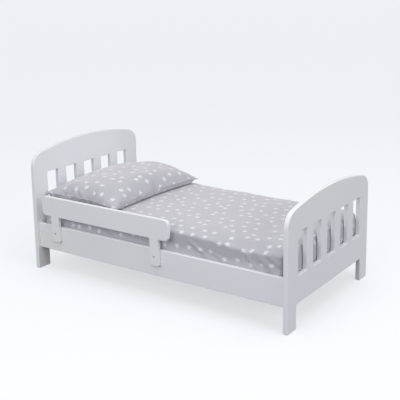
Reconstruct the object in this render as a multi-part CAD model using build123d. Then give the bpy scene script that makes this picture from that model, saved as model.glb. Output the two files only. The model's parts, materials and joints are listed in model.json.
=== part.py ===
"""Toddler bed with arched end panels, side rails, a slatted base and a bolt-on guard rail.

Every separate piece is one STEP file in parts/.  Lengths are millimetres.
The origin is on the floor at the middle of the bed.  +X points to the foot end,
+Y to the plain long side and +Z up, so the guard rail is on the -Y side.
"""

import math
import os

from build123d import *

os.makedirs("parts", exist_ok=True)

# ---------------------------------------------------------------- mattress
mattress_length = 1400.0
mattress_width = 700.0
mattress_height = 120.0
mattress_end_gap = 3.0
mattress_side_gap = 6.0
mattress_corner_radius = 34.0
mattress_edge_radius = 24.0
sheet_thickness = 1.0
sheet_tuck = 90.0

# ---------------------------------------------------------------- end panels
panel_thickness = 22.0
headboard_height = 628.0
footboard_height = 552.0
arch_radius = 1600.0
shoulder_radius = 72.0
panel_leg_width = 76.0
cutout_height = 109.0
cutout_corner_radius = 5.0
foot_corner_radius = 4.0
slot_count = 5
slot_width = 75.0
slot_pitch = 132.5
slot_bottom = 230.5
headboard_slot_top = 484.5
footboard_slot_top = 417.5
slot_corner_radius = 4.0
panel_edge_round = 3.0

# ---------------------------------------------------------------- side rails
rail_thickness = 18.0
rail_height = 126.5
rail_edge_round = 3.0

# ---------------------------------------------------------------- guard rail
guard_thickness = 18.0
guard_length = 783.0
guard_board_height = 98.0
guard_corner_radius = 24.0
guard_leg_width = 50.0
guard_leg_spacing = 616.0
guard_leg_overlap = 74.0
guard_gap = 53.5
guard_headboard_gap = 43.0
guard_inner_corner_radius = 5.0
guard_leg_corner_radius = 6.0
guard_edge_round = 3.0
corner_match = 0.01

# ---------------------------------------------------------------- slatted base
mattress_sink = 15.0
slat_count = 13
slat_width = 60.0
slat_thickness = 18.0
slat_end_gap = 3.0
slat_edge_round = 2.0
ledger_thickness = 25.0
ledger_height = 30.0
ledger_end_gap = 48.0
end_slat_inset = 5.0

# ---------------------------------------------------------------- cam joints
cam_diameter = 15.0
cam_height = 13.5
cam_hole_depth = 14.0
cam_clearance = 0.1
cam_from_end = 34.0
cam_spacing = 64.0
cam_pocket_diameter = 9.0
cam_pocket_height = 7.6
cam_cross_depth = 2.5
cam_cross_width = 1.6
cam_cross_span = 9.0
cam_bolt_thread_diameter = 6.0
cam_bolt_thread_length = 11.0
cam_bolt_shank_diameter = 7.0
cam_bolt_neck_diameter = 4.0
cam_bolt_neck_length = 5.5
cam_bolt_shank_gap = 0.5
cam_bolt_head_diameter = 7.0
cam_bolt_head_length = 3.0
cam_bolt_clearance = 0.5
dowel_diameter = 8.0
dowel_length = 30.0
dowel_in_panel = 10.5
dowel_chamfer = 1.0
dowel_end_clearance = 0.5

# ---------------------------------------------------------------- guard bolts
bolt_diameter = 6.0
bolt_length = 25.0
bolt_head_diameter = 10.0
bolt_head_height = 6.0
bolt_hex_size = 5.0
bolt_hex_depth = 3.0
bolt_hole_clearance = 0.25
bolt_drop = 31.0
counterbore_depth = 7.0
counterbore_clearance = 1.0
insert_diameter = 10.0
insert_length = 13.0
insert_hole_spare = 2.0

# ---------------------------------------------------------------- wood screws
screw_diameter = 4.0
screw_head_diameter = 8.0
screw_hole_clearance = 0.25
screw_tip_length = 4.0
slat_screw_length = 30.0
ledger_screw_length = 40.0
ledger_screw_count = 6

# ---------------------------------------------------------------- pillow
pillow_length = 672.0
pillow_width = 468.0
pillow_crown = 90.0
pillow_belly = 28.0
pillow_seam_thickness = 5.0
pillow_side_pull = 16.0
pillow_wall_gap = 3.0
pillow_rest_gap = 0.5
pillow_shift_y = 8.0
pillow_sections = 9
pillow_profile_points = 9
pillowcase_thickness = 1.0

# ---------------------------------------------------------------- derived places
rail_recess = guard_thickness
inner_length = mattress_length + 2 * mattress_end_gap
inner_width = mattress_width + 2 * mattress_side_gap
bed_length = inner_length + 2 * panel_thickness
bed_width = inner_width + 2 * rail_thickness + 2 * rail_recess

rail_bottom = cutout_height
rail_top = rail_bottom + rail_height
rail_centre_z = rail_bottom + rail_height / 2
rail_inner_y = inner_width / 2
rail_outer_y = rail_inner_y + rail_thickness
rail_centre_y = rail_inner_y + rail_thickness / 2
panel_inner_x = inner_length / 2

slat_top = rail_top - mattress_sink
ledger_top = slat_top - slat_thickness
ledger_length = inner_length - 2 * ledger_end_gap
ledger_centre_y = rail_inner_y - ledger_thickness / 2
ledger_centre_z = ledger_top - ledger_height / 2
slat_length = inner_width - 2 * slat_end_gap
slat_run = ledger_length - 2 * end_slat_inset - slat_width
slat_pitch = slat_run / (slat_count - 1)
slat_xs = [slat_pitch * i - slat_run / 2 for i in range(slat_count)]
ledger_screw_gaps = range(0, slat_count - 1, (slat_count - 1) // ledger_screw_count)
ledger_screw_xs = [slat_xs[gap] + slat_pitch / 2 for gap in ledger_screw_gaps]

mattress_top = slat_top + mattress_height
guard_board_bottom = rail_top + guard_gap
guard_leg_bottom = rail_top - guard_leg_overlap
guard_centre_x = guard_headboard_gap + guard_length / 2 - panel_inner_x
guard_leg_xs = [guard_centre_x + side * guard_leg_spacing / 2 for side in (-1, 1)]
bolt_z = rail_top - bolt_drop
cam_zs = [rail_centre_z + side * cam_spacing / 2 for side in (-1, 1)]


# ---------------------------------------------------------------- helpers
def rod(diameter, length, start, direction):
    """A round bar from start along direction."""
    plane = Plane(origin=start, z_dir=direction)
    return extrude(plane * Circle(diameter / 2), amount=length)


def turned(profile, start, direction):
    """A lathe piece: profile lists (radius, distance) from the axis at start."""
    points = [(0, profile[0][1])] + list(profile) + [(0, profile[-1][1])]
    outline = make_face(Plane.XZ * Polyline(*points, close=True))
    return Plane(origin=start, z_dir=direction) * revolve(outline, Axis.Z)


def round_over(board, faces, radius):
    """Round every edge that borders the given faces."""
    edges = ShapeList(edge for face in faces for edge in face.edges())
    return fillet(edges, radius)


def corner_places():
    """(x side, y side) of the four joints between a panel and a rail."""
    return [(x_side, y_side) for x_side in (-1, 1) for y_side in (-1, 1)]


def group(solids):
    """Separate solids that share one file."""
    return Compound(children=list(solids))


# ---------------------------------------------------------------- end panels
def panel_profile(top, slot_top):
    """Arched outline with its slots and the gap between the two legs."""
    board = Pos(0, top / 2) * Rectangle(bed_width, top)
    arch = Pos(0, top - arch_radius) * Circle(arch_radius)
    outline = board & arch
    shoulders = outline.vertices().sort_by(Axis.Y)[-2:]
    outline = fillet(shoulders, shoulder_radius)
    cutout = RectangleRounded(
        bed_width - 2 * panel_leg_width, 2 * cutout_height, cutout_corner_radius
    )
    outline -= cutout
    slot = RectangleRounded(slot_width, slot_top - slot_bottom, slot_corner_radius)
    slot_middle = (slot_top + slot_bottom) / 2
    outline -= Pos(0, slot_middle) * GridLocations(slot_pitch, 1, slot_count, 1) * slot
    feet = outline.vertices().group_by(Axis.Y)[0]
    return fillet(feet, foot_corner_radius)


def end_panel(top, slot_top, x_side):
    """One end of the bed, drilled on its inner face for the cam bolts and dowels."""
    inner_x = x_side * panel_inner_x
    start = min(inner_x, inner_x + x_side * panel_thickness)
    panel = extrude(Plane.YZ.offset(start) * panel_profile(top, slot_top), amount=panel_thickness)
    panel = round_over(panel, panel.faces().filter_by(Axis.X), panel_edge_round)
    for y_side in (-1, 1):
        y = y_side * rail_centre_y
        outward = (x_side, 0, 0)
        for z in cam_zs:
            panel -= rod(cam_bolt_thread_diameter, cam_bolt_thread_length, (inner_x, y, z), outward)
        depth = dowel_in_panel + dowel_end_clearance
        panel -= rod(dowel_diameter, depth, (inner_x, y, rail_centre_z), outward)
    return panel


# ---------------------------------------------------------------- side rails
def side_rail(y_side):
    """A long rail with its cam holes, dowel holes and ledger screw pilots."""
    middle = (0, y_side * rail_centre_y, rail_centre_z)
    rail = Pos(*middle) * Box(inner_length, rail_thickness, rail_height)
    rail = fillet(rail.edges().filter_by(Axis.X), rail_edge_round)
    inner_y = y_side * rail_inner_y
    for x_side in (-1, 1):
        end_x = x_side * panel_inner_x
        inward = (-x_side, 0, 0)
        bore = cam_bolt_shank_diameter + 2 * cam_bolt_clearance
        for z in cam_zs:
            rail -= rod(bore, cam_from_end, (end_x, y_side * rail_centre_y, z), inward)
            cam_x = end_x - x_side * cam_from_end
            hole = cam_diameter + 2 * cam_clearance
            rail -= rod(hole, cam_hole_depth, (cam_x, inner_y, z), (0, y_side, 0))
        depth = dowel_length - dowel_in_panel + dowel_end_clearance
        rail -= rod(dowel_diameter, depth, (end_x, y_side * rail_centre_y, rail_centre_z), inward)
    pilot = ledger_screw_length - ledger_thickness
    for x in ledger_screw_xs:
        rail -= rod(screw_diameter, pilot, (x, inner_y, ledger_centre_z), (0, y_side, 0))
    return rail


def front_rail():
    """The rail on the guard side, with the two insert holes in its outer face."""
    rail = side_rail(-1)
    depth = insert_length + insert_hole_spare
    for x in guard_leg_xs:
        rail -= rod(insert_diameter, depth, (x, -rail_outer_y, bolt_z), (0, 1, 0))
    return rail


# ---------------------------------------------------------------- slatted base
def ledger(y_side):
    """The batten that carries the slats, screwed to a rail's inner face."""
    middle = (0, y_side * ledger_centre_y, ledger_centre_z)
    batten = Pos(*middle) * Box(ledger_length, ledger_thickness, ledger_height)
    inner_y = y_side * (rail_inner_y - ledger_thickness)
    for x in ledger_screw_xs:
        batten -= screw_hole(ledger_thickness, (x, inner_y, ledger_centre_z), (0, y_side, 0))
    pilot = slat_screw_length - slat_thickness
    for x in slat_xs:
        batten -= rod(screw_diameter, pilot, (x, y_side * ledger_centre_y, ledger_top), (0, 0, -1))
    return batten


def slat(x):
    """One slat across the bed, drilled and countersunk at both ends."""
    board = Pos(x, 0, slat_top - slat_thickness / 2) * Box(slat_width, slat_length, slat_thickness)
    board = fillet(board.edges().filter_by(Axis.Y), slat_edge_round)
    for y_side in (-1, 1):
        board -= screw_hole(slat_thickness, (x, y_side * ledger_centre_y, slat_top), (0, 0, -1))
    return board


# ---------------------------------------------------------------- wood screws
def screw_hole(depth, start, direction):
    """A clearance hole whose countersink fits the screw's head."""
    head = screw_head_diameter / 2
    bore = screw_diameter / 2 + screw_hole_clearance
    return turned([(head, 0), (bore, head - bore), (bore, depth)], start, direction)


def wood_screw(length, start, direction):
    """A countersunk screw with its head flush at start."""
    head = screw_head_diameter / 2
    shank = screw_diameter / 2
    tip = length - screw_tip_length
    return turned(
        [(head, 0), (shank, head - shank), (shank, tip), (0.2 * shank, length)], start, direction
    )


def slat_screws():
    """Two screws in each slat."""
    return group(
        wood_screw(slat_screw_length, (x, y_side * ledger_centre_y, slat_top), (0, 0, -1))
        for x in slat_xs
        for y_side in (-1, 1)
    )


def ledger_screws():
    """The screws that hold both ledgers to their rails."""
    inner_y = rail_inner_y - ledger_thickness
    return group(
        wood_screw(ledger_screw_length, (x, y_side * inner_y, ledger_centre_z), (0, y_side, 0))
        for x in ledger_screw_xs
        for y_side in (-1, 1)
    )


# ---------------------------------------------------------------- cam joints
def cam(x_side, y_side, z):
    """A locking cam in the rail, with its neck slot facing the panel."""
    x = x_side * (panel_inner_x - cam_from_end)
    inner_y = y_side * rail_inner_y
    axis_y = y_side * rail_centre_y
    outward = (0, y_side, 0)
    body = rod(cam_diameter, cam_height, (x, inner_y, z), outward)
    pocket_y = axis_y - y_side * cam_pocket_height / 2
    body -= rod(cam_pocket_diameter, cam_pocket_height, (x, pocket_y, z), outward)
    neck = cam_bolt_neck_diameter + 2 * cam_bolt_clearance
    body -= Pos(x + x_side * cam_diameter / 2, axis_y, z) * Box(cam_diameter, neck, neck)
    entry = cam_bolt_head_diameter + 2 * cam_clearance
    body -= rod(entry, cam_diameter, (x, axis_y, z), (0, 0, 1))
    recess = Box(cam_cross_span, 2 * cam_cross_depth, cam_cross_width)
    for turn in (0, 90):
        body -= Pos(x, inner_y, z) * Rot(0, turn, 0) * recess
    return body


def cam_bolt(x_side, y_side, z):
    """The bolt that the cam pulls: thread in the panel, neck and head in the cam."""
    thread = cam_bolt_thread_diameter / 2
    shank = cam_bolt_shank_diameter / 2
    neck = cam_bolt_neck_diameter / 2
    head = cam_bolt_head_diameter / 2
    shank_end = cam_bolt_thread_length + cam_from_end - cam_diameter / 2 - cam_bolt_shank_gap
    neck_end = shank_end + cam_bolt_neck_length
    start = (x_side * (panel_inner_x + cam_bolt_thread_length), y_side * rail_centre_y, z)
    profile = [
        (thread, 0),
        (thread, cam_bolt_thread_length),
        (shank, cam_bolt_thread_length),
        (shank, shank_end),
        (neck, shank_end),
        (neck, neck_end),
        (head, neck_end),
        (head, neck_end + cam_bolt_head_length),
    ]
    return turned(profile, start, (-x_side, 0, 0))


def dowel(x_side, y_side):
    """A chamfered wooden dowel half in the panel and half in the rail."""
    radius = dowel_diameter / 2
    start = (x_side * (panel_inner_x + dowel_in_panel), y_side * rail_centre_y, rail_centre_z)
    profile = [
        (radius - dowel_chamfer, 0),
        (radius, dowel_chamfer),
        (radius, dowel_length - dowel_chamfer),
        (radius - dowel_chamfer, dowel_length),
    ]
    return turned(profile, start, (-x_side, 0, 0))


# ---------------------------------------------------------------- guard rail
def guard_profile():
    """A board with round corners on two legs that reach down over the side rail."""
    board_middle = guard_board_bottom + guard_board_height / 2
    board = RectangleRounded(guard_length, guard_board_height, guard_corner_radius)
    outline = Pos(guard_centre_x, board_middle) * board
    leg_length = board_middle - guard_leg_bottom
    for x in guard_leg_xs:
        leg = Pos(x, board_middle - leg_length / 2) * Rectangle(guard_leg_width, leg_length)
        outline += leg
    return round_leg_corners(outline)


def round_leg_corners(outline):
    """Round the corners where the legs meet the board, and the legs' lower ends."""
    leg_edges = [x + side * guard_leg_width / 2 for x in guard_leg_xs for side in (-1, 1)]

    def corners_at(height):
        return ShapeList(
            corner
            for corner in outline.vertices()
            if abs(corner.Y - height) < corner_match
            and min(abs(corner.X - edge) for edge in leg_edges) < corner_match
        )

    outline = fillet(corners_at(guard_board_bottom), guard_inner_corner_radius)
    return fillet(corners_at(guard_leg_bottom), guard_leg_corner_radius)


def guard_rail():
    """The guard rail, rounded over all round and counterbored for its two bolts."""
    guard = extrude(Plane.XZ.offset(rail_outer_y) * guard_profile(), amount=guard_thickness)
    guard = round_over(guard, guard.faces().filter_by(Axis.Y), guard_edge_round)
    face_y = -rail_outer_y - guard_thickness
    for x in guard_leg_xs:
        face = (x, face_y, bolt_z)
        guard -= rod(bolt_diameter + 2 * bolt_hole_clearance, guard_thickness, face, (0, 1, 0))
        counterbore = bolt_head_diameter + 2 * counterbore_clearance
        guard -= rod(counterbore, counterbore_depth, face, (0, 1, 0))
    return guard


def guard_bolt(x):
    """A socket-head bolt whose head seats in the counterbore."""
    seat_y = -rail_outer_y - guard_thickness + counterbore_depth
    top = (x, seat_y - bolt_head_height, bolt_z)
    head = bolt_head_diameter / 2
    shank = bolt_diameter / 2
    end = bolt_head_height + bolt_length
    bolt = turned(
        [(head, 0), (head, bolt_head_height), (shank, bolt_head_height), (shank, end)], top, (0, 1, 0)
    )
    hexagon = RegularPolygon(bolt_hex_size / 2, 6, major_radius=False)
    socket = extrude(Plane(origin=top, z_dir=(0, 1, 0)) * hexagon, amount=bolt_hex_depth)
    return bolt - socket


def threaded_insert(x):
    """The nut pressed into the rail, flush with its outer face."""
    face = (x, -rail_outer_y, bolt_z)
    sleeve = rod(insert_diameter, insert_length, face, (0, 1, 0))
    return sleeve - rod(bolt_diameter, insert_length, face, (0, 1, 0))


# ---------------------------------------------------------------- mattress
def padded_block(inset):
    """The mattress form with soft edges, drawn in by inset on every side."""
    length = mattress_length - 2 * inset
    width = mattress_width - 2 * inset
    plan = RectangleRounded(length, width, mattress_corner_radius - inset)
    block = extrude(Pos(0, 0, slat_top + inset) * plan, amount=mattress_height - 2 * inset)
    return round_over(block, block.faces().filter_by(Axis.Z), mattress_edge_radius - inset)


def mattress():
    """The foam core in its cover."""
    return padded_block(sheet_thickness)


def fitted_sheet():
    """The sheet over the mattress, turned under it all round."""
    window = Rectangle(mattress_length - 2 * sheet_tuck, mattress_width - 2 * sheet_tuck)
    opening = extrude(Pos(0, 0, slat_top) * window, amount=sheet_thickness)
    return padded_block(0) - padded_block(sheet_thickness) - opening


# ---------------------------------------------------------------- pillow
pillow_centre_x = pillow_wall_gap + pillow_width / 2 - panel_inner_x
pillow_seam_z = mattress_top + pillow_rest_gap + pillow_belly + pillow_seam_thickness / 2


def fullness(share):
    """How plump the pillow is at a share of the way from its middle to its edge."""
    return 1 - abs(share) ** 3


def pillow_section(share_x, inset):
    """The closed outline across the pillow at a share of its half width."""
    half_width = pillow_width / 2 - inset
    half_length = pillow_length / 2 - inset - pillow_side_pull * (1 - share_x**2)
    seam = pillow_seam_thickness / 2
    steps = [2 * i / (pillow_profile_points - 1) - 1 for i in range(pillow_profile_points)]
    fulls = [fullness(share_x) * fullness(share) for share in steps]
    ys = [pillow_shift_y + half_length * share for share in steps]
    tops = [seam + (pillow_crown - inset) * full for full in fulls]
    bottoms = [-seam - (pillow_belly - inset) * (1 - (1 - full) ** 3) for full in fulls]
    upper = Spline(*zip(ys, tops))
    lower = Spline(*zip(ys, bottoms))
    ends = [Line((ys[i], bottoms[i]), (ys[i], tops[i])) for i in (0, -1)]
    plane = Plane.YZ.offset(pillow_centre_x + half_width * share_x)
    return plane * Pos(0, pillow_seam_z) * make_face([upper, lower] + ends)


def pillow_form(inset):
    """The stuffed pillow, drawn in by inset."""
    shares = [2 * i / (pillow_sections - 1) - 1 for i in range(pillow_sections)]
    return loft([pillow_section(share, inset) for share in shares])


# ---------------------------------------------------------------- all pieces
pieces = {
    "headboard": end_panel(headboard_height, headboard_slot_top, -1),
    "footboard": end_panel(footboard_height, footboard_slot_top, 1),
    "front_side_rail": front_rail(),
    "back_side_rail": side_rail(1),
    "front_ledger": ledger(-1),
    "back_ledger": ledger(1),
    "slat_screws": slat_screws(),
    "ledger_screws": ledger_screws(),
    "cam_locks": group(cam(*place, z) for place in corner_places() for z in cam_zs),
    "cam_bolts": group(cam_bolt(*place, z) for place in corner_places() for z in cam_zs),
    "dowels": group(dowel(*place) for place in corner_places()),
    "guard_rail": guard_rail(),
    "guard_bolts": group(guard_bolt(x) for x in guard_leg_xs),
    "threaded_inserts": group(threaded_insert(x) for x in guard_leg_xs),
    "mattress": mattress(),
    "fitted_sheet": fitted_sheet(),
    "pillow": pillow_form(pillowcase_thickness),
    "pillowcase": pillow_form(0) - pillow_form(pillowcase_thickness),
}
for number, x in enumerate(slat_xs, start=1):
    pieces[f"slat_{number:02d}"] = slat(x)

for name, piece in pieces.items():
    export_step(piece, f"parts/{name}.step")
    print(f"{name}: {len(piece.solids())} solids, {piece.volume / 1000:.0f} cm3")
print(f"bed {bed_length:.0f} x {bed_width:.0f} x {headboard_height:.0f} mm")
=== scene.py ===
# %% [markdown]
# # A toddler bed, dressed
# This notebook takes the bed that was drawn as separate pieces and gives it its looks.
# The boards, slats and fittings keep their own shapes and only get a finish here.
# The soft things, which are the mattress, its fitted sheet and the pillow, are made again
# as cloth, because a sewn and stuffed thing never looks like a plain block.
# Lengths are in metres. +X points to the foot end, +Y to the plain long side, +Z up.

# %% The frame that everything is fitted to
import json
import math

import bpy
import numpy as np
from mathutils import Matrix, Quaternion, Vector


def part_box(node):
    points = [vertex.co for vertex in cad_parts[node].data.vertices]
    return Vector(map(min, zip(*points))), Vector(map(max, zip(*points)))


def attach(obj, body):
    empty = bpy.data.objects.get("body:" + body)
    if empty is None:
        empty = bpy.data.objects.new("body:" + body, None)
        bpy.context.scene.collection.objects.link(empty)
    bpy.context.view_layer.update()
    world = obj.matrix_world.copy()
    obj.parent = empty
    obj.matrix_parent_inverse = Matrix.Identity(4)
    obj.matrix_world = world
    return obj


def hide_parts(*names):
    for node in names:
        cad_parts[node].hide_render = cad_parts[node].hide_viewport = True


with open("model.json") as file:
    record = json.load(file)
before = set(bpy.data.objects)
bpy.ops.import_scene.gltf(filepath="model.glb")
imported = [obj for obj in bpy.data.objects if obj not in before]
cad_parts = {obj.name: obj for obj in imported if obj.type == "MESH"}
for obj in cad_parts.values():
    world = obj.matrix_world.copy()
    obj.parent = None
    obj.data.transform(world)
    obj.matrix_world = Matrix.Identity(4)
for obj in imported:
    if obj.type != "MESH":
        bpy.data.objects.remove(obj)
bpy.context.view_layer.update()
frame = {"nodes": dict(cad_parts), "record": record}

# %% [markdown]
# ## The camera
# The camera stands off the foot corner on the guard rail's side, a little above the
# eye height of somebody sitting. Tilting it far down would make the upright boards lean,
# so it looks nearly level and a small shift of the lens brings the bed into the middle.

# %% Camera
camera_place = Vector((2.1777, -3.0234, 1.4400))
camera_turn = math.radians(33.97)
camera_tilt = math.radians(-11.74)
camera_roll = math.radians(0.61)

camera_data = bpy.data.cameras.new("camera")
camera_data.sensor_width = 36.0
camera_data.lens = 71.27
camera_data.shift_x = -0.05
camera_data.shift_y = -0.15
camera_data.clip_end = 200.0

heading = Vector(
    (
        -math.sin(camera_turn) * math.cos(camera_tilt),
        math.cos(camera_turn) * math.cos(camera_tilt),
        math.sin(camera_tilt),
    )
)
camera = bpy.data.objects.new("camera", camera_data)
camera.location = camera_place
camera.rotation_mode = "QUATERNION"
camera.rotation_quaternion = Quaternion(heading, camera_roll) @ heading.to_track_quat("-Z", "Y")
bpy.context.scene.collection.objects.link(camera)
bpy.context.scene.camera = camera
print("the camera stands", round(camera_place.length, 2), "m from the bed's middle")

# %% [markdown]
# ## Finishes as arithmetic
# A finish is a small recipe: noise for the paint's skin, rings for the wood, a pattern for
# the print. Wiring such recipes node by node is slow to read, so one small class wraps a
# node's output. Adding or multiplying two of them adds the matching Math node, and one
# method makes any other node. What stays the same all over is typed straight into the
# shader, and only what changes over the surface is wired.

# %% One value that varies over a surface
class Value:
    """An output of a finish's node tree, ready for arithmetic."""

    def __init__(self, finish, socket):
        self.finish = finish
        self.socket = socket

    def output(self, name):
        return Value(self.finish, self.socket.node.outputs[name])

    def math(self, operation, *others):
        return self.finish.node("Math", {"operation": operation}, (self, *others))

    def __add__(self, other):
        return self.math("ADD", other)

    def __sub__(self, other):
        return self.math("SUBTRACT", other)

    def __rsub__(self, other):
        return self.finish.node("Math", {"operation": "SUBTRACT"}, (other, self))

    def __mul__(self, other):
        return self.math("MULTIPLY", other)

    def __truediv__(self, other):
        return self.math("DIVIDE", other)

    def __mod__(self, other):
        return self.math("FLOORED_MODULO", other)

    def __neg__(self):
        return self * -1.0

    def __abs__(self):
        return self.math("ABSOLUTE")

    __radd__ = __add__
    __rmul__ = __mul__


# %% A finish and its nodes
def shade(red, green, blue):
    """A colour as a screen shows it, 0 to 255, turned into the light that it sends back."""
    parts = [part / 255 for part in (red, green, blue)]
    light = [c / 12.92 if c < 0.04045 else ((c + 0.055) / 1.055) ** 2.4 for c in parts]
    return (*light, 1.0)


class Finish:
    """A material and the nodes that make it."""

    def __init__(self, name):
        self.material = bpy.data.materials.new(name)
        self.material.use_nodes = True
        self.nodes = self.material.node_tree.nodes
        self.links = self.material.node_tree.links
        self.shader = self.nodes["Principled BSDF"]

    def plug(self, socket, value):
        if isinstance(value, Value):
            self.links.new(value.socket, socket)
        else:
            socket.default_value = value

    def node(self, kind, settings, values=(), **named):
        """Adds a node, sets it up, and fills its sockets in order or by name."""
        made = self.nodes.new("ShaderNode" + kind)
        for name, setting in settings.items():
            setattr(made, name, setting)
        sockets = [socket for socket in made.inputs if socket.enabled]
        for socket, value in zip(sockets, values):
            self.plug(socket, value)
        for name, value in named.items():
            self.plug(made.inputs[name], value)
        return Value(self, next(socket for socket in made.outputs if socket.enabled))

    def mixed(self, share, first, second):
        return self.node("Mix", {"data_type": "RGBA"}, (share, first, second))

    def noise(self, place, scale, detail=2.0, roughness=0.5):
        return self.node(
            "TexNoise", {}, Vector=place, Scale=scale, Detail=detail, Roughness=roughness
        )

    def ramp(self, value, low, high):
        """0 below low, 1 above high, and an even slope between."""
        return self.node("MapRange", {}, (value, low, high, 0.0, 1.0))

    def own_place(self):
        """Where a point lies in the bed, in metres, however the piece is moved."""
        return self.node("TexCoord", {}).output("Object")

    def finished(self, colour, roughness, height, depth, bump=1.0, **constant):
        """Wires what varies, types in what doesn't, and returns the material."""
        self.plug(self.shader.inputs["Base Color"], colour)
        self.plug(self.shader.inputs["Roughness"], roughness)
        normal = self.node("Bump", {}, Strength=bump, Distance=depth, Height=height)
        self.plug(self.shader.inputs["Normal"], normal)
        for name, value in constant.items():
            self.shader.inputs[name.replace("_", " ")].default_value = value
        return self.material


def wear(material, *names):
    """Gives a material to pieces of the bed by their names."""
    for name in names:
        mesh = frame["nodes"][name].data
        mesh.materials.clear()
        mesh.materials.append(material)
    print(material.name, "on", len(names), "pieces")


# %% [markdown]
# ## White paint
# The boards are fibreboard, sprayed with a satin white lacquer. One plain white would look
# like plastic, because sprayed paint isn't flat: it has a very fine orange-peel skin,
# drifts a little between warm and cool, and near the floor it picks up faint scuffs. The
# skin is a bump of about a tenth of a millimetre, which only shows in the highlights.

# %% Painted board
peel_depth = 0.00012
scuffed_height = 0.05
warm_white = shade(239, 239, 241)
cool_white = shade(236, 237, 242)
scuff_grey = shade(186, 182, 176)


def painted_board():
    paint = Finish("satin_white_paint")
    place = paint.own_place()
    drift = paint.noise(place, 2.2, 3.0)
    cloud = paint.noise(place, 38.0, 4.0)
    peel = paint.noise(place, 210.0, 2.0)
    grain = paint.noise(place, 900.0, 1.0)
    height_above_floor = paint.node("SeparateXYZ", {}, (place,)).output("Z")
    near_floor = 1 - paint.ramp(height_above_floor, 0.0, scuffed_height)
    scuffs = near_floor * paint.ramp(paint.noise(place, 120.0, 5.0, 0.7), 0.52, 0.75)
    tone = paint.mixed(paint.ramp(drift, 0.35, 0.65), warm_white, cool_white)
    colour = paint.mixed(scuffs * 0.35, tone, scuff_grey)
    roughness = 0.30 + cloud * 0.10 + scuffs * 0.20
    height = peel * 0.7 + grain * 0.15 + cloud * 0.6
    lacquer = {"Coat_Weight": 0.08, "Coat_Roughness": 0.2, "Specular_IOR_Level": 0.35}
    return paint.finished(colour, roughness, height, peel_depth, **lacquer)


boards = ["headboard", "footboard", "front_side_rail", "back_side_rail", "guard_rail"]
wear(painted_board(), *boards)

# %% [markdown]
# ## Pine slats and ledgers
# The slats and the ledgers that carry them are planed pine, with no paint. A board is cut
# from a tree, so its grain is a set of rings, met nearly along their length. Stretched
# noise alone gives streaks but no rings, so the rings are measured round the tree's heart,
# an axis a few centimetres below each board. Noise stretched along the grain makes them
# wander, and knots darken them here and there. Each board gets its own piece of the tree
# by moving the heart with the board's place.

# %% Pine along either direction
heart_height = 0.15
heart_scatter = 0.05
rings_per_metre = 260.0
grain_depth = 0.00025


def pine(name, along, board_pitch):
    wood = Finish(name)
    place = wood.own_place()
    axes = wood.node("SeparateXYZ", {}, (place,))
    x, y, z = (axes.output(letter) for letter in "XYZ")
    run, across = (y, x) if along == "Y" else (x, y)
    board = (across / board_pitch).math("ROUND")
    chance = wood.node("TexWhiteNoise", {"noise_dimensions": "1D"}, W=board)
    streak = wood.node("CombineXYZ", {}, (run * 0.9, across * 14.0, z * 14.0 + chance * 9.0))
    wander = wood.noise(streak, 2.0, 4.0)
    heart = board * board_pitch + (chance - 0.5) * heart_scatter
    sideways = across - heart
    depth = z - heart_height + chance * 0.02
    radius = (sideways * sideways + depth * depth).math("SQRT")
    rings = radius * rings_per_metre + wander * 3.2 + run * 0.8
    season = rings % 1.0
    late_wood = wood.ramp(season, 0.35, 0.95) * (1 - wood.ramp(season, 0.95, 1.0))
    pore_place = wood.node("CombineXYZ", {}, (run * 24.0, across * 900.0, z * 900.0))
    pores = wood.noise(pore_place, 1.0, 2.0)
    knot_place = wood.node("CombineXYZ", {}, (run * 2.6, across * 7.0, chance * 31.0))
    knot = wood.node("TexVoronoi", {"feature": "F1"}, Vector=knot_place, Scale=1.0)
    knotty = 1 - wood.ramp(knot, 0.03, 0.12)
    plain = wood.mixed(late_wood, shade(226, 200, 158), shade(203, 164, 112))
    streaked = wood.mixed(wood.ramp(pores, 0.45, 0.8) * 0.35, plain, shade(176, 136, 88))
    colour = wood.mixed(knotty * 0.85, streaked, shade(120, 78, 46))
    roughness = 0.55 + pores * 0.15 - late_wood * 0.08
    height = late_wood * 0.4 + pores * 0.8
    return wood.finished(colour, roughness, height, grain_depth, Specular_IOR_Level=0.4)


slats = [f"slat_{number:02d}" for number in range(1, 14)]
slat_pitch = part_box("slat_02")[0].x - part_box("slat_01")[0].x
ledger_pitch = 0.4
wear(pine("pine_across", "Y", slat_pitch), *slats)
wear(pine("pine_along", "X", ledger_pitch), "front_ledger", "back_ledger")

# %% [markdown]
# ## Beech dowels and metal fittings
# The fittings are small and mostly hidden: fluted beech dowels, bright zinc screws, cast
# zinc cams and nickel-plated bolts. Metals get their look from what they reflect, so their
# colour hardly changes, and the detail is in the roughness: plating has fine turned or
# rumbled marks, and a casting is grainy.

# %% Beech
fleck_pitch = (90.0, 900.0, 900.0)
fleck_depth = 0.0002


def beech():
    wood = Finish("turned_beech")
    place = wood.own_place()
    axes = wood.node("SeparateXYZ", {}, (place,))
    stretched = [axes.output(letter) * pitch for letter, pitch in zip("XYZ", fleck_pitch)]
    fleck = wood.noise(wood.node("CombineXYZ", {}, stretched), 1.0, 3.0)
    colour = wood.mixed(wood.ramp(fleck, 0.4, 0.75), shade(216, 182, 142), shade(178, 134, 92))
    return wood.finished(colour, 0.5 + fleck * 0.2, fleck, fleck_depth)


# %% Plated and cast metal
def metal(name, bright, dull, smooth, rough, mark_scale, depth):
    plate = Finish(name)
    place = plate.own_place()
    marks = plate.noise(place, mark_scale, 4.0, 0.6)
    bloom = plate.noise(place, 160.0, 3.0)
    colour = plate.mixed(plate.ramp(bloom, 0.35, 0.7), bright, dull)
    roughness = smooth + marks * (rough - smooth)
    return plate.finished(colour, roughness, marks, depth, Metallic=1.0)


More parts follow.
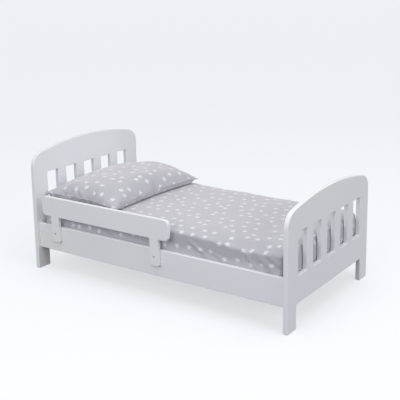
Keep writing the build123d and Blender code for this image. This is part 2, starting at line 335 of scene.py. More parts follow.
wear(beech(), "dowels")
bright_zinc, dull_zinc = shade(206, 210, 214), shade(188, 190, 184)
bright_cast, dull_cast = shade(172, 173, 176), shade(148, 149, 152)
bright_nickel, dull_nickel = shade(204, 198, 188), shade(186, 181, 172)
zinc = metal("zinc_plate", bright_zinc, dull_zinc, 0.22, 0.42, 1500.0, 0.00004)
cast = metal("cast_zinc", bright_cast, dull_cast, 0.45, 0.70, 2400.0, 0.00012)
nickel = metal("nickel_plate", bright_nickel, dull_nickel, 0.16, 0.34, 1800.0, 0.00003)
wear(zinc, "slat_screws", "ledger_screws", "cam_bolts")
wear(cast, "cam_locks")
wear(nickel, "guard_bolts", "threaded_inserts")

# %% [markdown]
# ## Cotton with scattered stars
# The sheet and the pillowcase are the same light grey percale with small white stars. A
# drawing of the print could be laid on, but a few sums stay sharp from any distance. A
# print lies in the flat cloth, so it is drawn from the flat coordinates that each cloth
# mesh carries, and it bends and folds with the cloth. The cloth is divided into even
# cells with every other row moved by half. Each cell holds one star, and a random number
# for the cell nudges and turns it. A star is a sector of a fifth of a turn, mirrored
# about its middle and cut off by one straight line from its tip to its notch.

# %% Star print
star_pitch = 0.064
star_tip = 0.0156
star_notch = 0.0076
star_half_point = math.pi / 5
star_nudge = 0.018
ink_softness = 0.0007


def star_mask(cloth, flat):
    """1 inside a star, 0 on the ground colour."""
    axes = cloth.node("SeparateXYZ", {}, (flat,))
    line = axes.output("Y") / star_pitch
    row = line.math("FLOOR")
    column = axes.output("X") / star_pitch + (row % 2.0) * 0.5
    cell = cloth.node("CombineXYZ", {}, (column.math("FLOOR"), row, 0.0))
    chance = cloth.node("TexWhiteNoise", {"noise_dimensions": "2D"}, Vector=cell).output("Color")
    luck = cloth.node("SeparateXYZ", {}, (chance,))
    across = (column % 1.0 - 0.5) * star_pitch - (luck.output("X") - 0.5) * (2 * star_nudge)
    up = (line % 1.0 - 0.5) * star_pitch - (luck.output("Y") - 0.5) * (2 * star_nudge)
    from_middle = (across * across + up * up).math("SQRT")
    turn = up.math("ARCTAN2", across) + luck.output("Z") * math.tau
    sector = star_half_point - abs((turn % (2 * star_half_point)) - star_half_point)
    reach = from_middle * sector.math("COSINE")
    rise = from_middle * sector.math("SINE")
    notch = Vector((math.cos(star_half_point), math.sin(star_half_point))) * star_notch
    side = Vector((notch.y, star_tip - notch.x)).normalized()
    outside = (reach - star_tip) * side.x + rise * side.y
    return cloth.ramp(-outside, -ink_softness, ink_softness)


# %% [markdown]
# Percale is a plain weave of fine threads, over and under. Two crossed waves make the
# threads, and slow noise stretched along each direction makes the slubs, the thicker
# stretches of yarn that keep cotton from looking like plastic.

# %% Star cotton
thread_pitch = 0.0006
weave_depth = 0.00018
slubs_along = 60.0
slubs_across = 1400.0
ground_grey = shade(183, 182, 189)
washed_grey = shade(180, 179, 187)
slub_grey = shade(194, 193, 199)
star_white = shade(221, 221, 227)


def star_cotton(name):
    cloth = Finish(name)
    flat = cloth.node("UVMap", {"uv_map": "flat_cloth"})
    axes = cloth.node("SeparateXYZ", {}, (flat,))
    along, across = axes.output("X"), axes.output("Y")
    warp = (along * (math.tau / thread_pitch)).math("SINE")
    weft = (across * (math.tau / thread_pitch)).math("SINE")
    warp_slub = cloth.node("CombineXYZ", {}, (along * slubs_along, across * slubs_across, 0.0))
    weft_slub = cloth.node("CombineXYZ", {}, (along * slubs_across, across * slubs_along, 3.0))
    slub = cloth.noise(warp_slub, 1.0, 2.0) + cloth.noise(weft_slub, 1.0, 2.0)
    wash = cloth.noise(flat, 9.0, 3.0)
    stars = star_mask(cloth, flat)
    ground = cloth.mixed(cloth.ramp(wash, 0.35, 0.65), ground_grey, washed_grey)
    ground = cloth.mixed(cloth.ramp(slub, 0.7, 1.3) * 0.5, ground, slub_grey)
    colour = cloth.mixed(stars, ground, star_white)
    roughness = 0.78 + slub * 0.08 - stars * 0.06
    height = warp * weft * 0.35 + slub * 0.9 + stars * 0.15
    sheen = {"Sheen_Weight": 0.60, "Sheen_Roughness": 0.5, "Specular_IOR_Level": 0.25}
    return cloth.finished(colour, roughness, height, weave_depth, **sheen)


sheet_cotton = star_cotton("sheet_cotton")
pillowcase_cotton = star_cotton("pillowcase_cotton")
print("star print repeats every", star_pitch, "m")

# %% [markdown]
# ## Knitted cover and ticking
# The mattress has a white knitted cover, and the pillow inside its case a closely woven
# ticking. Both are only seen when the bed is taken apart, so modelled yarn would be
# wasted. A knit is rows of small loops, and two crossed waves stand for them, with every
# other row moved by half a loop.

# %% Knit and ticking
def white_cloth(name, loop, depth, tone, shadow):
    cloth = Finish(name)
    place = cloth.own_place()
    axes = cloth.node("SeparateXYZ", {}, (place,))
    x, y, z = (axes.output(letter) for letter in "XYZ")
    row = (y + z) / loop
    loops = ((x / loop + (row.math("FLOOR") % 2.0) * 0.5) * math.tau).math("SINE")
    rows = (row * math.tau).math("SINE")
    fuzz = cloth.noise(place, 700.0, 3.0)
    colour = cloth.mixed(cloth.ramp(loops * rows + fuzz, 0.0, 1.4), shadow, tone)
    height = loops * rows * 0.5 + fuzz * 0.5
    sheen = {"Sheen_Weight": 0.2, "Sheen_Roughness": 0.5}
    return cloth.finished(colour, 0.82 + fuzz * 0.12, height, depth, **sheen)


knit = white_cloth("mattress_knit", 0.0024, 0.0005, shade(236, 236, 233), shade(206, 206, 203))
ticking = white_cloth("pillow_ticking", 0.0007, 0.0002, shade(238, 237, 233), shade(214, 212, 206))
tape = white_cloth("woven_tape", 0.0012, 0.0003, shade(228, 228, 226), shade(190, 190, 188))
print("knit, ticking and tape are ready")

# %% [markdown]
# ## The mattress as a wrapped block
# A mattress could be a box with its edges bevelled, but then nothing says how the cloth
# lies on it. Here a foam block with rounded edges is a flat grid with rings hung round it:
# over the top edge, down the side, round the bottom edge and inward underneath. The same
# rings make the mattress, which is closed underneath, and the fitted sheet, which stops at
# its hem. Each ring point knows how far along its side it lies and how far over the edge,
# so the flat cloth's coordinates come for free.

# %% The four sides of a block
cell = 0.0056
grid_inset = 0.060
corner_zone = 0.035
block_corner = 0.046
top_edge = 0.013
bottom_edge = 0.010
side_ways = [((1, 0), (0, -1)), ((0, 1), (1, 0)), ((-1, 0), (0, 1)), ((0, -1), (-1, 0))]


class Block:
    """A soft block with upright corners and edges rounded."""

    def __init__(self, low, high, skin=0.0):
        self.middle = np.array((low + high) / 2)
        self.half = np.array((high - low) / 2) - skin
        self.corner = block_corner - skin
        self.edge = top_edge - skin
        self.foot = bottom_edge - skin

    def side(self, number):
        """Half its length, how far out it lies, and the ring points' places along it."""
        length, out = self.half[:2] if number % 2 == 0 else self.half[1::-1]
        reach = length - grid_inset
        return length, out, np.linspace(-reach, reach, 2 * round(reach / cell) + 1)

    def outline(self):
        """One row for each ring point: inner and outer place, way out, place along, and side."""
        rows = []
        for number, (along, outward) in enumerate(side_ways):
            length, out, places = self.side(number)
            straight = length - grid_inset - corner_zone
            for place in places[:-1]:
                over = max(abs(place) - straight, 0.0) / corner_zone
                angle = math.copysign(over * math.pi / 4, place)
                flat_part = (length - self.corner) * min(max(place / straight, -1.0), 1.0)
                way = (math.sin(angle), math.cos(angle))
                rim = (flat_part + self.corner * way[0], out - self.corner * (1 - way[1]))
                pairs = ((place, out - grid_inset), rim, way)
                world = [p[0] * np.array(along) + p[1] * np.array(outward) for p in pairs]
                rows.append((*world, place, flat_part + self.corner * angle, number))
        return rows

    def profile(self, tuck):
        """Steps over the edge and under: inset, height, distance over the edge, and slope."""
        top, bottom, bend, foot = self.half[2], -self.half[2], self.edge, self.foot
        wall = top - bottom - bend - foot
        over_bend = bend * (math.pi / 2 - 1)
        insets = np.arange(grid_inset - cell, bend + cell / 2, -cell)
        steps = [(inset, top, -inset, 1.0) for inset in insets]
        for turn in np.linspace(0, math.pi / 2, 8):
            inset, drop = bend * (1 - math.sin(turn)), bend * (1 - math.cos(turn))
            steps.append((inset, top - drop, bend * (turn - 1), math.cos(turn)))
        for share in np.linspace(0, 1, round(wall / cell) + 1)[1:]:
            steps.append((0.0, top - bend - wall * share, over_bend + wall * share, 0.0))
        floor_of_wall = over_bend + wall
        for turn in np.linspace(0, math.pi / 2, 5)[1:]:
            inset, rise = foot * (1 - math.cos(turn)), foot * (1 - math.sin(turn))
            steps.append((inset, bottom + rise, floor_of_wall + foot * turn, -math.sin(turn)))
        for inset in np.arange(foot + cell, tuck + cell / 2, cell):
            steps.append((inset, bottom, floor_of_wall + foot * (math.pi / 2 - 1) + inset, -1.0))
        return steps


print("cloth cells are", cell * 1000, "mm")


# %% Cloth wrapped round a block
class Wrap:
    """Points, outward ways, faces and flat cloth coordinates of a cover round a block."""

    def __init__(self, block, tuck):
        self.block = block
        self.outline = block.outline()
        self.points, self.ways, self.faces, self.flat, self.rings = [], [], [], [], []
        above, over, wide = self.patch(1), -grid_inset, 0.0
        for inset, height, next_over, slope in block.profile(tuck):
            below = self.ring(inset, height, slope)
            next_wide = max(wide, 1 - inset / grid_inset)
            self.band(above, below, (over, next_over), (wide, next_wide))
            above, over, wide = below, next_over, next_wide

    def patch(self, up):
        """Adds the flat grid on top, or the one underneath, and returns its border."""
        xs, ys = self.block.side(0)[2], self.block.side(1)[2]
        start, across, down = len(self.points), len(xs), len(ys)
        self.points += [(x, y, up * self.block.half[2]) for y in ys for x in xs]
        self.ways += [(0.0, 0.0, float(up))] * (across * down)
        for j in range(down - 1):
            for i in range(across - 1):
                first = start + j * across + i
                face = [first, first + 1, first + across + 1, first + across][::up]
                self.faces.append(face)
                self.flat += [self.points[corner][:2] for corner in face]
        border = list(range(across - 1))
        border += [j * across + across - 1 for j in range(down - 1)]
        border += [(down - 1) * across + i for i in range(across - 1, 0, -1)]
        border += [j * across for j in range(down - 1, 0, -1)]
        return [start + spot for spot in border]

    def ring(self, inset, height, slope):
        """Adds one ring of points round the block."""
        share = 1 - inset / grid_inset
        level = math.sqrt(max(1 - slope * slope, 0.0))
        start = len(self.points)
        for base, rim, way, *_ in self.outline:
            spot = base + (rim - base) * share
            self.points.append((spot[0], spot[1], height))
            self.ways.append((way[0] * level, way[1] * level, slope))
        self.rings.append(list(range(start, len(self.points))))
        return self.rings[-1]

    def band(self, above, below, over, wide):
        """Adds the faces between two rings."""
        count = len(self.outline)
        for k in range(count):
            after = (k + 1) % count
            self.faces.append([above[k], below[k], below[after], above[after]])
            number = self.outline[k][5]
            along, outward = (np.array(way) for way in side_ways[number])
            out = self.block.side(number)[1]
            turned = -1 if self.outline[after][5] != number else 1
            ends = (self.outline[k][3:5], [turned * place for place in self.outline[after][3:5]])
            for end, level in ((0, 0), (0, 1), (1, 1), (1, 0)):
                place, place_out = ends[end]
                reach = place + (place_out - place) * wide[level]
                self.flat.append(tuple(along * reach + outward * (out + over[level])))

    def close(self):
        """Closes the cover underneath."""
        border, last = self.patch(-1), self.rings[-1]
        for k in range(len(last)):
            after = (k + 1) % len(last)
            self.faces.append([last[k], border[k], border[after], last[after]])
            self.flat += [self.points[corner][:2] for corner in self.faces[-1]]

    def corners(self):
        """The ring numbers where one side ends and the next begins."""
        return [k for k in range(len(self.outline)) if self.outline[k][5] != self.outline[k - 1][5]]

    def shaped(self):
        """The points in the bed, pulled out of the plain block, and their ways out."""
        places, ways = np.array(self.points) + self.block.middle, np.array(self.ways)
        places[:, 2] -= sunk(places)
        return places + ways * pulled(places, ways)[:, None], ways


# %% [markdown]
# Cloth that lies on foam is never quite flat. A few sine waves in seeded random
# directions make the slow unevenness, which comes out the same every time. A crease is a
# narrow ridge along a line.

# %% Unevenness and creases
def ripples(points, wavelength, seed, waves=7):
    """A soft random height, about -1 to 1, over points."""
    chance = np.random.default_rng(seed)
    ways = chance.normal(size=(waves, points.shape[1]))
    ways /= np.linalg.norm(ways, axis=1, keepdims=True)
    lengths = wavelength * chance.uniform(0.7, 1.5, waves)
    starts = chance.uniform(0, math.tau, waves)
    return np.sin(math.tau * (points @ ways.T) / lengths + starts).sum(1) / math.sqrt(waves)


def smooth(share):
    """A soft step from 0 to 1."""
    share = np.clip(share, 0.0, 1.0)
    return share * share * (3 - 2 * share)


def bump(distance, width):
    """1 in the middle of a soft rise, fading out over its width."""
    return np.exp(-((distance / width) ** 2))


def crease(points, start, end, width):
    """1 along the line from start to end, fading to 0 a width away and past its ends."""
    start, end = np.array(start), np.array(end)
    line = end - start
    share = np.clip((points - start) @ line / (line @ line), 0.0, 1.0)
    away = np.linalg.norm(points - start - share[:, None] * line, axis=1)
    return bump(away, width) * np.sin(math.pi * (0.08 + 0.84 * share))


# %% [markdown]
# A mattress in use isn't a sharp block. Nobody climbs in over the guard rail, so its long
# top edges are worn from there on, and most sat down near the foot. The back edge gets
# less of it than the front one.

# %% Where the long edges are sat down
edge_sink = 0.019
edge_wear = 0.008
edge_uneven = 0.0016
seat_place = 0.52
seat_reach = 0.18
wear_from = -0.32
wear_over = 0.25
sunk_inward = 0.046
sunk_down = 0.118


def sunk(points):
    """How far the long top edges have been sat down, most where a child climbs in."""
    along, front = points[:, 0], points[:, 1] < 0
    below_top = points[:, 2].max() - points[:, 2]
    from_side = np.abs(points[:, 1]).max() - np.abs(points[:, 1])
    sat_on = edge_sink * bump(along - seat_place, seat_reach) * np.where(front, 1.0, 0.3)
    worn = edge_wear * smooth((along - wear_from) / wear_over) * np.where(front, 1.0, 0.6)
    waves = 1 + ripples(points[:, :1], wavelength=0.09, seed=8)
    uneven = edge_uneven * waves * np.where(front, 1.0, 0.3)
    faded = bump(from_side, sunk_inward)
    return (sat_on + worn + uneven) * faded * smooth(1 - below_top / sunk_down)


print("the front edge lies up to", edge_sink + edge_wear, "m lower near the foot")

# %% [markdown]
# The folds of a fitted sheet run down and towards the foot corners, with a groove where
# each foot corner is tucked in. A simulation would put such folds where it likes, and
# these have known places, so each is a line from a start to an end, as x and z on the long
# side, with a width and a height. At the foot end the mattress is pressed against the
# board and swells a little into its slots, and low down it settles against the rails.

# %% How the sheet is pulled out of flat
pull_lines = [
    ((0.205, 0.300), (0.303, 0.246), 0.008, 0.0050),
    ((0.330, 0.268), (0.392, 0.244), 0.007, 0.0030),
    ((0.492, 0.316), (0.531, 0.246), 0.0075, 0.0056),
    ((0.534, 0.264), (0.556, 0.240), 0.006, 0.0036),
    ((0.560, 0.296), (0.664, 0.234), 0.015, 0.0062),
    ((0.604, 0.310), (0.684, 0.262), 0.010, 0.0040),
    ((-0.120, 0.300), (-0.020, 0.250), 0.009, 0.0036),
    ((-0.300, 0.280), (-0.220, 0.244), 0.008, 0.0030),
    ((-0.420, 0.302), (-0.560, 0.244), 0.011, 0.0040),
]
settle = 0.0044
settle_height = 0.262
swell = 0.0085
end_dip = 0.0085
corner_tuck = 0.016
tuck_turn = 0.66
tuck_width = 0.24
foot_slots = [
    opening["box_m"]
    for opening in frame["record"]["physics"]["openings"]
    if opening["name"].startswith("footboard_slot")
]


def swollen(points):
    """How far the foot end swells into the footboard's slots."""
    out = np.zeros(len(points))
    for (_, left, bottom), (_, right, _) in foot_slots:
        half = (right - left) / 2
        across = np.clip(1 - ((points[:, 1] - (left + right) / 2) / half) ** 2, 0, 1)
        out += swell * np.sqrt(across) * smooth((points[:, 2] - bottom) / 0.02)
    return out


def pulled(points, ways):
    """How far each point of the sheet stands out of the plain block."""
    up, front, back = smooth(ways[:, 2]), smooth(-ways[:, 1]), smooth(ways[:, 1])
    foot = smooth(ways[:, 0])
    level = 0.0011 * ripples(points, wavelength=0.22, seed=3)
    level += 0.0005 * ripples(points, wavelength=0.07, seed=4)
    out = level * (up + 0.8 * (front + back + foot))
    flat_side = points[:, [0, 2]]
    for start, end, width, height in pull_lines:
        here = crease(flat_side, start, end, width)
        beside = crease(flat_side + (0.7 * width, 1.7 * width), start, end, width)
        out += front * height * (here - 0.7 * beside)
        out += back * height * crease(flat_side * (-1, 1), start, end, width)
    below_top = points[:, 2].max() - points[:, 2]
    from_end = np.abs(points[:, 0]).max() - np.abs(points[:, 0])
    out -= end_dip * bump(from_end, 0.034) * bump(below_top, 0.026)
    low = smooth((settle_height - points[:, 2]) / 0.030)
    low *= 1 - smooth(-ways[:, 2] * 1.2 - 0.1)
    out += settle * low * (front + back)
    turn = np.arctan2(np.abs(ways[:, 0]), np.abs(ways[:, 1]))
    upright = np.hypot(ways[:, 0], ways[:, 1]) * (points[:, 0] > 0)
    upright *= np.where(points[:, 1] < 0, 1.0, 0.3)
    out -= corner_tuck * upright * bump(turn - tuck_turn, tuck_width) * smooth(below_top / 0.04)
    return out + foot * swollen(points) * (1 - bump(below_top, 0.020))


print(len(pull_lines), "pull lines on each long side,", len(foot_slots), "slots to swell into")


# %% [markdown]
# Points and faces alone aren't a thing that Blender shows. This helper makes the mesh,
# gives every corner of a face its place on the flat cloth, shades it smooth and puts it in
# the scene. Its faces are small enough to need no further subdivision.

# %% Meshes from points
def new_object(name, points, faces, material, flat=None):
    """A smooth mesh object. flat holds one cloth coordinate for each corner of each face."""
    mesh = bpy.data.meshes.new(name)
    mesh.from_pydata([tuple(p) for p in points], [], [tuple(f) for f in faces])
    if flat is not None:
        layer = mesh.uv_layers.new(name="flat_cloth")
        layer.data.foreach_set("uv", np.array(flat, np.float32).ravel())
    mesh.polygons.foreach_set("use_smooth", [True] * len(mesh.polygons))
    mesh.materials.append(material)
    mesh.update()
    made = bpy.data.objects.new(name, mesh)
    bpy.context.scene.collection.objects.link(made)
    return made


# %% [markdown]
# A sewn edge is thicker than the cloth beside it. Such a seam is a thin cord of cloth: a
# small ring of points carried along the edge, flattened a little, with its ends closed.
# Where elastic gathers the cloth, the ring swells and shrinks along the way.

# %% Seams
ring_points = 8
seam_thickness = 0.75
seam_strip = 0.001


def seam(name, path, outward, radius, material, closed=True, gather=0.0, pitch=0.011):
    """A narrow tube along path. outward holds the way out of the cloth at each point."""
    path, outward = np.array(path), np.array(outward)
    count = len(path)
    before, after = np.roll(path, 1, 0), np.roll(path, -1, 0)
    if not closed:
        before[0], after[-1] = path[0], path[-1]
    onward = after - before
    onward /= np.linalg.norm(onward, axis=1, keepdims=True)
    sideways = np.cross(onward, outward)
    sideways /= np.linalg.norm(sideways, axis=1, keepdims=True)
    upward = np.cross(sideways, onward)
    run = np.cumsum(np.linalg.norm(path - before, axis=1))
    sizes = radius * (1 + gather * np.sin(math.tau * run / pitch + 1.7 * np.sin(run * 31.0)))
    angles = np.linspace(0, math.tau, ring_points, endpoint=False)
    ring = np.cos(angles)[None, :, None] * upward[:, None] * seam_thickness
    ring = ring + np.sin(angles)[None, :, None] * sideways[:, None]
    points = (path[:, None] + ring * sizes[:, None, None]).reshape(-1, 3)
    faces, flat = [], []
    for k in range(count if closed else count - 1):
        for side in range(ring_points):
            near, far = k * ring_points, (k + 1) % count * ring_points
            turn = (side + 1) % ring_points
            faces.append([near + side, near + turn, far + turn, far + side])
            low, high = side * seam_strip, side * seam_strip + seam_strip
            flat += [(run[k], low), (run[k], high), (run[k] + cell, high), (run[k] + cell, low)]
    if not closed:
        faces.append(list(range(ring_points))[::-1])
        faces.append(list(range(len(points) - ring_points, len(points))))
        flat += [(0.0, 0.0)] * (2 * ring_points)
    return new_object(name, points, faces, material, flat)


# %% [markdown]
# The mattress is a foam block in a knitted cover, with piping sewn round its top and
# bottom edges. It lies four millimetres under the sheet and is shaped by the same rules,
# so the two meet only in the tucked corner at the front, which the groove pinches.

# %% The mattress
sheet_low, sheet_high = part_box("fitted_sheet")
under_sheet = 0.0042
piping_radius = 0.0016
piping_below_top = 0.012
piping_above_bottom = 0.008


def mattress_piece(piece):
    """Puts a piece of the mattress's cover on the body that it moves with."""
    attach(piece, "mattress")


core = Wrap(Block(sheet_low, sheet_high, under_sheet), grid_inset - cell)
core.close()
points, ways = core.shaped()
mattress = new_object("knit_mattress", points, core.faces, knit, core.flat)
mattress_piece(mattress)
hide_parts("mattress")
heights = np.array([points[ring].mean(0)[2] for ring in core.rings])
upper = points[:, 2].max() - piping_below_top
lower = points[:, 2].min() + piping_above_bottom
for level, height in (("upper", upper), ("lower", lower)):
    ring = core.rings[int(np.abs(heights - height).argmin())]
    name = f"mattress_piping_{level}"
    mattress_piece(seam(name, points[ring], ways[ring], piping_radius, tape))
print("mattress", [round(v, 4) for v in mattress.dimensions], len(core.faces), "faces")

# %% [markdown]
# The fitted sheet is one cloth with a square cut out of each corner. The cuts are sewn up,
# which makes the corner seams, and elastic in the hem gathers what is tucked underneath.

# %% The fitted sheet
sheet_tuck = 0.090
gather_depth = 0.0016
hem_radius = 0.0017
hem_rise = (0.0, 0.0, 0.0014)
corner_seam_radius = 0.0011
corner_seam_rise = 0.0003

cover = Wrap(Block(sheet_low, sheet_high), sheet_tuck)
points, ways = cover.shaped()
under = ways[:, 2] < -0.99
insets = [points[:, axis].max() - np.abs(points[:, axis]) for axis in (0, 1)]
from_edge = sheet_tuck - np.minimum(*insets)
puckered = 1 + ripples(points[:, :2], wavelength=0.016, seed=12)
gathers = smooth(1 - from_edge / 0.03) * puckered / 2
points[:, 2] += np.where(under, gather_depth * np.clip(gathers, 0, 1.3), 0.0)
sheet = new_object("star_sheet", points, cover.faces, sheet_cotton, cover.flat)
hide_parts("fitted_sheet")

last = cover.rings[-1]
hem_path = points[last] + hem_rise
sewn = [seam("sheet_hem", hem_path, ways[last], hem_radius, sheet_cotton, gather=0.35)]
first_ring = round((grid_inset - top_edge) / cell) - 1
for number, k in enumerate(cover.corners(), start=1):
    line = [ring[k] for ring in cover.rings[first_ring:]]
    line_path = points[line] + ways[line] * corner_seam_rise
    name = f"sheet_corner_seam_{number}"
    sewn.append(
        seam(name, line_path, ways[line], corner_seam_radius, sheet_cotton, closed=False)
    )
for piece in [sheet, *sewn]:
    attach(piece, "mattress")
print("sheet", [round(v, 4) for v in sheet.dimensions], "m, with", len(sewn), "seams")

# %% [markdown]
# ## The pillow
# A pillowcase is two flat rectangles sewn together and stuffed. Blown up like a cushion,
# its corners stay pointed, its sides pull in, and it puckers along the seams, because
# flat cloth can't make a round shape without folding. That is what cloth simulation does
# well, so the case starts nearly flat, is filled with pressure, and is then set down in
# the place that the bed keeps for it: full above the seam and flat where it lies.

# %% A flat case
case_low, case_high = (np.array(corner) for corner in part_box("pillowcase"))
case_flat = np.array((0.50, 0.70))
case_cell = 0.0085
second_layer = (1.0, 0.0)


def fullness(across, along):
    """How plump a stuffed case is, 0 at its seam and 1 in its middle."""
    return (np.clip(1 - across**2, 0, 1) * np.clip(1 - along**2, 0, 1)) ** 0.45


def flat_case(puff):
    """Two layers of cloth that share their outer seam, puffed up a little."""
    across, down = (round(side / case_cell) + 1 for side in case_flat)
    grid = np.meshgrid(np.linspace(-1, 1, across), np.linspace(-1, 1, down))
    x, y = (axis.ravel() for axis in grid)
    upper = np.stack([x * case_flat[0] / 2, y * case_flat[1] / 2, puff * fullness(x, y)], 1)
    on_seam = (np.abs(x) > 0.999) | (np.abs(y) > 0.999)
    lower = (upper * (1, 1, -1))[~on_seam]
    number = np.arange(len(upper))
    number[~on_seam] = len(upper) + np.arange(len(lower))
    faces, flat = [], []
    for j in range(down - 1):
        for i in range(across - 1):
            first = j * across + i
            face = [first, first + 1, first + across + 1, first + across]
            faces += [face, [number[corner] for corner in face[::-1]]]
            flat += [tuple(upper[corner][:2]) for corner in face]
            flat += [tuple(upper[corner][:2] + second_layer) for corner in face[::-1]]
    return np.concatenate([upper, lower]), faces, flat, len(lower)


# %% Filling it with pressure
def filled(case, frames, pressure):
    """Runs cloth with pressure inside and returns where the points end."""
    cloth = case.modifiers.new("filling", "CLOTH")
    settings = cloth.settings
    settings.quality = 8
    settings.mass = 0.25
    settings.tension_stiffness = 60.0
    settings.compression_stiffness = 6.0
    settings.shear_stiffness = 8.0
    settings.bending_stiffness = 0.6
    settings.tension_damping = 5.0
    settings.compression_damping = 5.0
    settings.air_damping = 2.0
    settings.use_pressure = True
    settings.uniform_pressure_force = pressure
    settings.effector_weights.gravity = 0.0
    cloth.point_cache.frame_start = 1
    cloth.point_cache.frame_end = frames
    scene = bpy.context.scene
    for frame_number in range(1, frames + 1):
        scene.frame_set(frame_number)
    seen = case.evaluated_get(bpy.context.evaluated_depsgraph_get()).data
    places = np.zeros(len(seen.vertices) * 3)
    seen.vertices.foreach_get("co", places)
    case.modifiers.remove(cloth)
    scene.frame_set(1)
    return places.reshape(-1, 3)


start_puff = 0.012
filling_steps = 16
filling_pressure = 4.0

flat_points, faces, flat, lower_count = flat_case(start_puff)
trial = new_object("case_trial", flat_points, faces, pillowcase_cotton)
shape = filled(trial, filling_steps, filling_pressure)
bpy.data.objects.remove(trial)
print("filled case", [round(v, 3) for v in shape.max(0) - shape.min(0)])

# %% [markdown]
# A pillow that has been slept on is straighter than a fresh balloon. Its long sides, at
# the head and the foot, keep most of their pull, and its short ones, between the rails,
# keep a third of it. The filled case is read as a plan, -1 to 1 each way, and each side's
# own curve is measured and eased. A longer simulation could settle it too, but its outline
# would then miss the place that the bed keeps for it.

# %% Straightening its sides
pull_in = (0.85, 0.35)
from_sides = case_flat / 2 - np.abs(flat_points[:, :2])
from_seam = from_sides.min(1)


def straightened(shape):
    """The filled case from above, -1 to 1 each way, with some of its sides' pull taken out."""
    spread = np.abs(shape[:, :2]).max(0)
    plan = shape[:, :2] / spread
    out = plan.copy()
    for axis, other in ((0, 1), (1, 0)):
        on_side = from_sides[:, axis] < 1e-6
        order = np.argsort(plan[on_side, other])
        places = plan[on_side, other][order]
        widths = np.abs(plan[on_side, axis])[order]
        here = np.interp(plan[:, other], places, widths)
        out[:, axis] = plan[:, axis] / here * (1 - pull_in[axis] * (1 - here))
    return out / np.abs(out).max(0)


# %% [markdown]
# Its seam isn't level either. It rides up along the guard rail's side, drops at the foot
# corner on that side, and rises a little in the middle of the foot side, where the filling
# is fullest. Small puckers cross the seam, and longer folds run out of each corner.

# %% How high the seam lies
seam_level = 0.0305
front_rise = 0.0095
foot_rise = 0.0075
back_drop = 0.0025


def seam_heights(plan):
    """How high the seam lies above the mattress, for places seen from above."""
    front, back = smooth((-plan[:, 1] - 0.45) / 0.5), smooth((plan[:, 1] - 0.45) / 0.5)
    foot = smooth((plan[:, 0] - 0.2) / 0.8)
    middle = foot * (1 - smooth(np.abs(plan[:, 1])))
    heights = seam_level + front_rise * front * (1 - 1.5 * foot)
    return heights - back_drop * back * foot + foot_rise * middle


# %% Puckers
pucker_height = 0.0016
fold_height = 0.0034
fold_width = 0.0105
fold_angles = (-0.34, -0.05, 0.30)


def puckers(plan):
    """Small folds across the seams, and a few longer ones out of each corner."""
    spots = plan * case_flat / 2
    by_seam = ripples(spots, wavelength=0.030, seed=21)
    all_over = ripples(spots, wavelength=0.15, seed=22)
    folds = pucker_height * bump(from_seam, 0.028) * by_seam
    folds += pucker_height * all_over * smooth(from_seam / 0.05)
    for corner in ((1, -1), (1, 1), (-1, -1), (-1, 1)):
        tip = np.array(corner) * case_flat / 2
        inward = math.atan2(-tip[1] * 0.8, -tip[0])
        for number, angle in enumerate(fold_angles):
            way = np.array((math.cos(inward + angle), math.sin(inward + angle)))
            reach = 0.10 + 0.035 * number
            start, end = tip + 0.015 * way, tip + reach * way
            folds += fold_height * crease(spots, start, end, fold_width)
    return folds * smooth(from_seam / 0.012)


print("puckers along the seam and", len(fold_angles), "folds out of each corner")

# %% [markdown]
# Above the seam the case is full, and below it curves back to the mattress: at once along
# the head side, and slowly along the foot side and towards the corners there, which stand
# free as small points. Part of the foot half stays open underneath as a narrow crevice,
# which gives the pillow its dark line. How far in from a side each curve reaches is a
# length in metres.

# %% Laying it on the mattress
tuck_reach = {"head": 0.010, "foot": 0.034}
lift_reach = {"head": 0.026, "foot": 0.070, "back": 0.036}
flange = 0.008
crevice = 0.30
crevice_reach = {"foot": 0.105, "front": 0.150, "back": 0.030}
crown_power = 1.5
crown_room = 0.004


def toward_foot(reach, to_foot):
    """A reach that changes from the head's to the foot's."""
    return reach["head"] + (reach["foot"] - reach["head"]) * to_foot


def laid(shape, skin):
    """Fits the filled case to its place, flat below, a skin's thickness inside it."""
    middle, half = (case_low + case_high) / 2, (case_high - case_low) / 2
    plan = straightened(shape)
    level = case_low[2] + seam_heights(plan)
    share = np.clip(shape[:, 2] / np.abs(shape[:, 2]).max(), 0, 1) ** crown_power
    upper = level + share * (case_high[2] - level - skin - crown_room) + puckers(plan)
    at_back = flat_points[:, 1] > 0
    to_foot = smooth((flat_points[:, 0] + 0.20) / 0.30)
    lift = toward_foot(lift_reach, to_foot)
    lift = np.where(at_back, np.minimum(lift, lift_reach["back"]), lift)
    inward = np.clip(from_sides[:, 0] / toward_foot(tuck_reach, to_foot), 0, 1)
    tucked = 0.45 * np.sin(inward * math.pi / 2) + 0.55 * smooth(inward)
    tucked = tucked * smooth((from_sides[:, 1] - flange) / lift)
    hollow = crevice * to_foot
    along_sides = np.where(at_back, crevice_reach["back"], crevice_reach["front"])
    closed = smooth(from_sides[:, 0] / crevice_reach["foot"])
    closed *= smooth(from_sides[:, 1] / along_sides)
    under = (1 - hollow) * tucked + hollow * closed
    lower = level - under * (level - case_low[2] - skin)
    is_lower = np.arange(len(shape)) >= len(shape) - lower_count
    heights = np.minimum(np.where(is_lower, lower, upper), case_high[2] - skin)
    return np.column_stack([middle[:2] + plan * (half[:2] - skin), heights])


# %% [markdown]
# The pillow in the case has the same shape, two millimetres further in, so it is there
# when the case is hidden. A thin seam closes the case's edge all the way round.

# %% The case, the pillow in it and the seam
case_skin = 0.0012
pillow_skin = 0.0032
case_seam_radius = 0.0012


def pillow_piece(piece):
    """Puts a piece of the pillow on the body that it moves with."""
    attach(piece, "pillow")


places = laid(shape, case_skin)
pillowcase = new_object("star_pillowcase", places, faces, pillowcase_cotton, flat)
pillow_piece(pillowcase)
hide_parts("pillowcase")

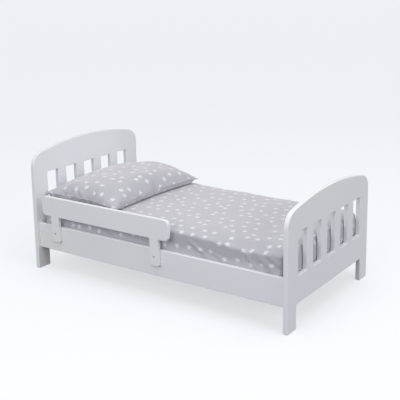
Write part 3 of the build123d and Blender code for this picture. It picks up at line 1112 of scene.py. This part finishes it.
pillow = new_object("stuffed_pillow", laid(shape, pillow_skin), faces, ticking, flat)
pillow_piece(pillow)
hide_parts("pillow")

on_seam = np.flatnonzero(from_seam < 1e-6)
seam_plan = flat_points[on_seam, :2] / case_flat
edge = on_seam[np.argsort(np.arctan2(seam_plan[:, 1], seam_plan[:, 0]))]
out = places[edge] - places.mean(0)
case_seam = seam("pillowcase_seam", places[edge], out, case_seam_radius, pillowcase_cotton)
pillow_piece(case_seam)
print("pillow", [round(v, 4) for v in pillowcase.dimensions])

# %% [markdown]
# ## Floor and light
# A white bed needs soft light and a pale floor. The floor looks pale to the camera and in
# reflections, but gives back less light than it shows, or it would light the boards from
# below like a lamp. Light falls on the bed from three large lamps: a weak one overhead,
# and two stronger ones low off the guard rail's side and off the foot end. With the pale
# sky they leave the top edges brightest and the front and the foot board nearly alike.
# Large lamps are chosen because small ones would draw hard shadows on the white boards.

# %% Floor
floor_reach = 160.0
floor_gap = 0.0002


def floor_finish():
    ground = Finish("pale_floor")
    rays = ground.node("LightPath", {})
    seen = rays.output("Is Camera Ray").math("MAXIMUM", rays.output("Is Glossy Ray"))
    seen = seen.math("MAXIMUM", rays.output("Is Transmission Ray"))
    speck = ground.noise(ground.own_place(), 60.0, 4.0)
    pale = ground.mixed(speck, shade(156, 157, 160), shade(152, 153, 156))
    lights_up = ground.mixed(speck, shade(92, 95, 106), shade(88, 91, 102))
    colour = ground.mixed(seen, lights_up, pale)
    glow = ground.mixed(seen, (0.0, 0.0, 0.0, 1.0), shade(205, 207, 211))
    ground.plug(ground.shader.inputs["Emission Color"], glow)
    return ground.finished(colour, 0.85 + speck * 0.1, speck, 0.0002, Emission_Strength=1.0)


corners = [(x * floor_reach, y * floor_reach, 0) for x, y in ((-1, -1), (1, -1), (1, 1), (-1, 1))]
floor = new_object("floor", corners, [(0, 1, 2, 3)], floor_finish())
floor.location.z = -floor_gap
print("the floor lies", floor_gap, "m below the feet")


# %% Light
def lamp(name, place, aim, size, power, colour):
    data = bpy.data.lights.new(name, "AREA")
    data.shape = "RECTANGLE"
    data.size, data.size_y = size
    data.energy = power
    data.color = colour
    made = bpy.data.objects.new(name, data)
    made.location = place
    made.rotation_mode = "QUATERNION"
    made.rotation_quaternion = (Vector(aim) - Vector(place)).to_track_quat("-Z", "Y")
    bpy.context.scene.collection.objects.link(made)


lamp("overhead", (0.9, -0.4, 3.4), (0.0, 0.0, 0.3), (3.2, 2.6), 32.0, (1.0, 0.995, 0.985))
lamp("front_fill", (0.4, -4.4, 2.4), (0.0, 0.0, 0.3), (3.0, 2.2), 59.0, (1.0, 0.99, 0.98))
lamp("foot_fill", (5.2, -1.0, 2.8), (0.0, 0.0, 0.4), (2.6, 1.8), 53.0, (1.0, 0.995, 0.985))

world = bpy.data.worlds.new("studio")
bpy.context.scene.world = world
world.use_nodes = True
sky = world.node_tree.nodes["Background"]
sky.inputs["Color"].default_value = (0.97, 0.975, 1.0, 1.0)
sky.inputs["Strength"].default_value = 0.65
bpy.context.scene.view_settings.view_transform = "Standard"
print("three lamps and a pale sky")
